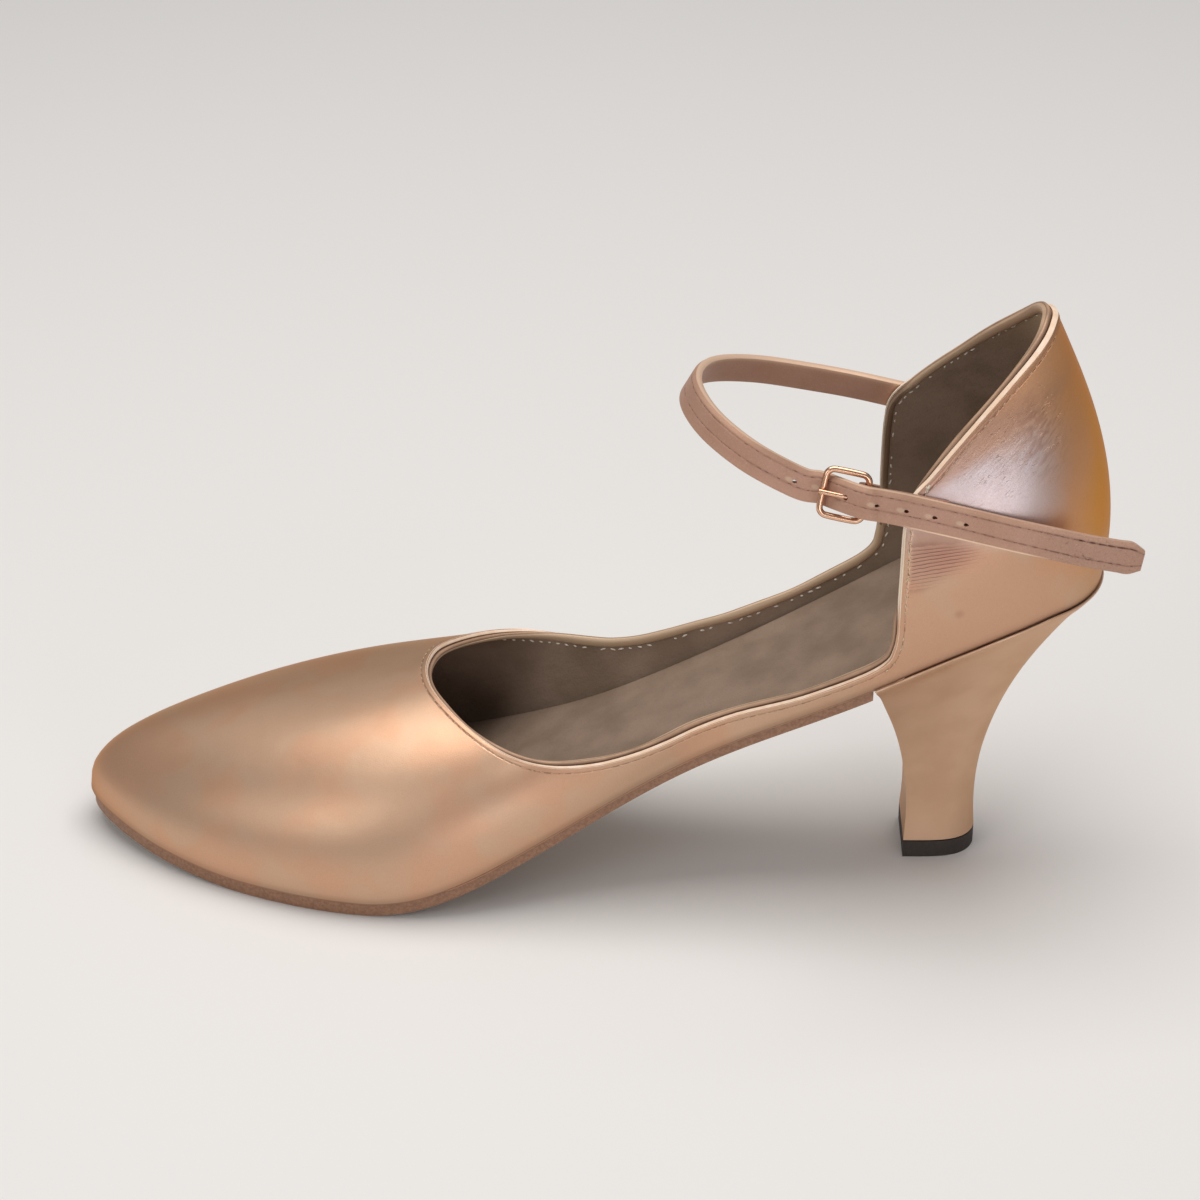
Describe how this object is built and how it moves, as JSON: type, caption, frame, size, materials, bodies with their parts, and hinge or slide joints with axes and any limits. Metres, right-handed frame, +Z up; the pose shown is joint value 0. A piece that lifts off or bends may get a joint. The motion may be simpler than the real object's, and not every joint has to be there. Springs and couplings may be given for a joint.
{
  "type": "ballroom dance shoe",
  "caption": "Closed-toe ballroom dance shoe, left, with closed counter, side-cut waist, buckled instep strap and covered heel",
  "frame": {"origin": "middle of the flat underside of the heel's top-piece, on the floor", "axes": "+X towards the toe, +Y towards the outer side of the left foot, +Z up"},
  "size_m": [0.2296, 0.0765, 0.1322],
  "materials": {
    "upper": "metallic rose-gold coated leather, glossy",
    "insole": "dark grey-brown sock lining, dull",
    "outsole": "brushed suede",
    "heel": "rose-gold leather cover",
    "top_piece": "dull",
    "strap": "rose-gold coated leather, satin",
    "buckle": "polished rose-gold plate"
  },
  "bodies": {
    "root": {"upper": "upper", "insole": "insole", "outsole": "outsole", "heel": "heel", "top_piece": "top_piece", "strap": "strap", "buckle_tab": "strap", "buckle_frame": "buckle", "buckle_prong": "buckle"}
  },
  "joints": []
}
